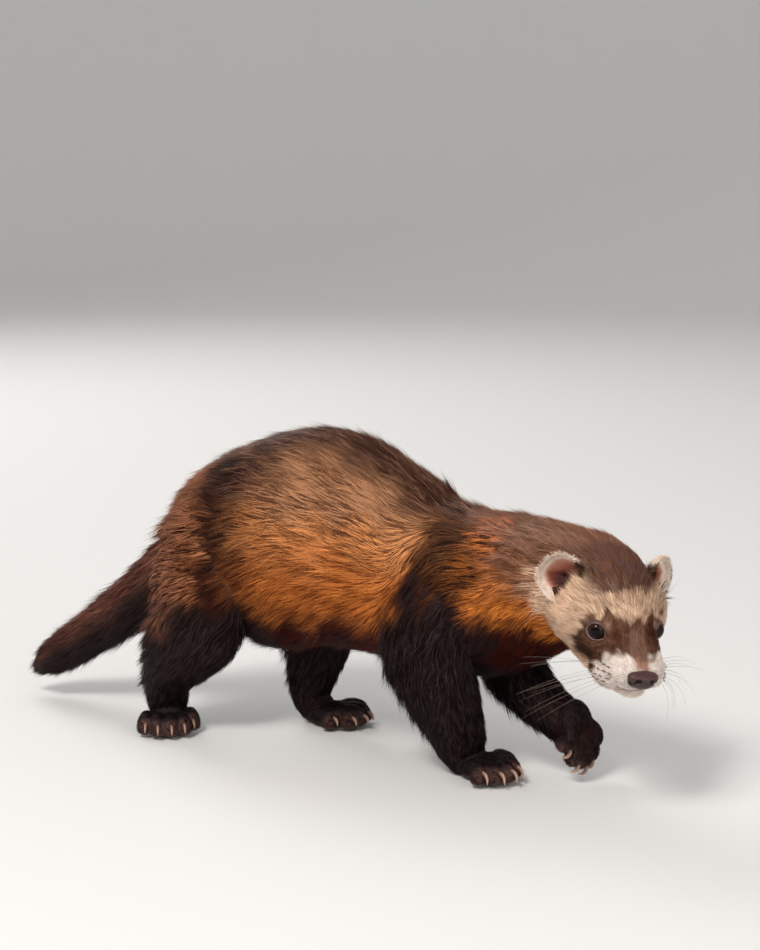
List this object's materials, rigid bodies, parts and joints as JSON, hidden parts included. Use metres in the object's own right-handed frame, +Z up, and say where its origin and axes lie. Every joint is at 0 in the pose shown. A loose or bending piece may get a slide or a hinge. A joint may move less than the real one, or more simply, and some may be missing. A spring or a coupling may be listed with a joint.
{
  "type": "ferret",
  "caption": "Still, life-size ferret in a walking pose with its head turned to its right: long arched body, short legs, small round ears, furred tail.",
  "frame": {"origin": "on the floor, under the middle of the animal's bounding box", "axes": "+X the way the animal walks, from tail to head; +Y to the animal's left; +Z up"},
  "size_m": [0.3294, 0.0988, 0.1348],
  "materials": {
    "flank_coat": "soft guard hair in dark brown over a straw-coloured under coat",
    "dark_coat": "dense, glossy, near-black brown hair on legs, feet and tail",
    "face_coat": "short face hair with a brown mask, a cream band and a pale muzzle",
    "ear_coat": "very short cream hair on the ear's rim and pinkish skin inside it",
    "nose_skin": "damp, finely pebbled skin, dark pinkish brown",
    "eye_wet": "wet, almost black eye with a clear bright surface",
    "claw_horn": "smooth, slightly see-through horn, pinkish cream"
  },
  "bodies": {
    "root": {"head": "face_coat", "neck": "flank_coat", "chest": "flank_coat", "loin": "flank_coat", "rump": "flank_coat", "tail_base": "dark_coat", "tail_mid": "dark_coat", "tail_tip": "dark_coat", "upper_hind_right": "dark_coat", "lower_hind_right": "dark_coat", "paw_hind_right": "dark_coat", "upper_hind_left": "dark_coat", "lower_hind_left": "dark_coat", "paw_hind_left": "dark_coat", "upper_fore_right": "dark_coat", "lower_fore_right": "dark_coat", "paw_fore_right": "dark_coat", "upper_fore_left": "dark_coat", "lower_fore_left": "dark_coat", "paw_fore_left": "dark_coat", "ear_left": "ear_coat", "eye_left": "eye_wet", "ear_right": "ear_coat", "eye_right": "eye_wet", "nose": "nose_skin", "claw_hind_right_1": "claw_horn", "claw_hind_right_2": "claw_horn", "claw_hind_right_3": "claw_horn", "claw_hind_right_4": "claw_horn", "claw_hind_right_5": "claw_horn", "claw_hind_left_1": "claw_horn", "claw_hind_left_2": "claw_horn", "claw_hind_left_3": "claw_horn", "claw_hind_left_4": "claw_horn", "claw_hind_left_5": "claw_horn", "claw_fore_right_1": "claw_horn", "claw_fore_right_2": "claw_horn", "claw_fore_right_3": "claw_horn", "claw_fore_right_4": "claw_horn", "claw_fore_right_5": "claw_horn", "claw_fore_left_1": "claw_horn", "claw_fore_left_2": "claw_horn", "claw_fore_left_3": "claw_horn", "claw_fore_left_4": "claw_horn", "claw_fore_left_5": "claw_horn"}
  },
  "joints": []
}
